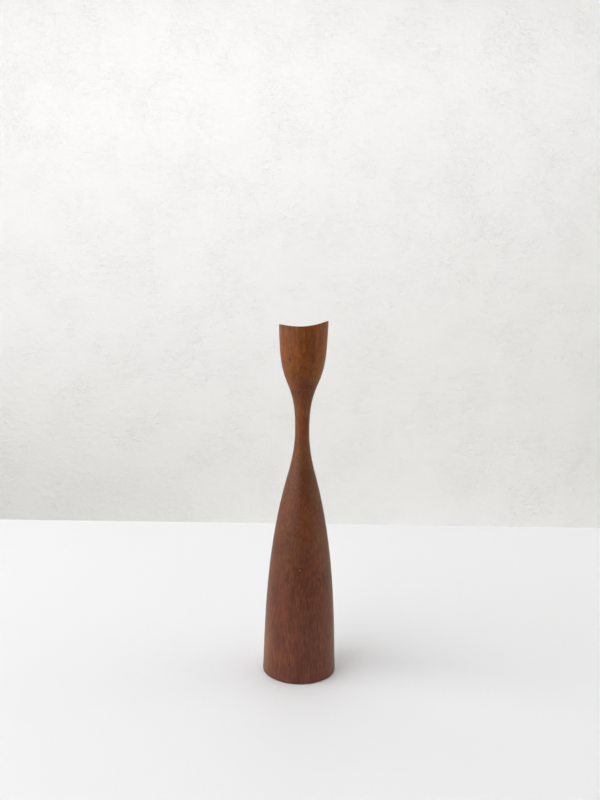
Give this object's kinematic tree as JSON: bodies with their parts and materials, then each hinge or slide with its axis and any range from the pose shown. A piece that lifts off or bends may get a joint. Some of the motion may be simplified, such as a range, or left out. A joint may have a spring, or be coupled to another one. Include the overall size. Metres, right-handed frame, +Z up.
{
  "type": "wooden candlestick",
  "caption": "Slender turned hardwood candlestick with a bell-shaped foot, a narrow neck and a tulip cup with a scooped rim and a brass candle socket.",
  "frame": {"origin": "centre of the felt pad's underside, on the surface that the candlestick stands on", "axes": "+Z up along the turning axis, +X towards the higher side of the scooped rim, +Y along the scoop, towards the back"},
  "size_m": [0.0498, 0.0498, 0.2409],
  "materials": {
    "body_wood": "oiled dark reddish-brown hardwood, satin",
    "cup_wood": "oiled dark golden-brown hardwood, satin",
    "dowel_wood": "bare beech",
    "brass": "turned brass, dulled by handling",
    "screw_brass": "plain brass screw",
    "steel": "bare turned steel",
    "plywood": "bare birch plywood",
    "felt": "pressed brown wool felt"
  },
  "bodies": {
    "root": {"turned_body": "body_wood", "candle_cup": "cup_wood", "joining_dowel": "dowel_wood", "brass_liner": "brass", "liner_screw": "screw_brass", "base_weight": "steel", "weight_cover": "plywood", "felt_pad": "felt"}
  },
  "joints": []
}
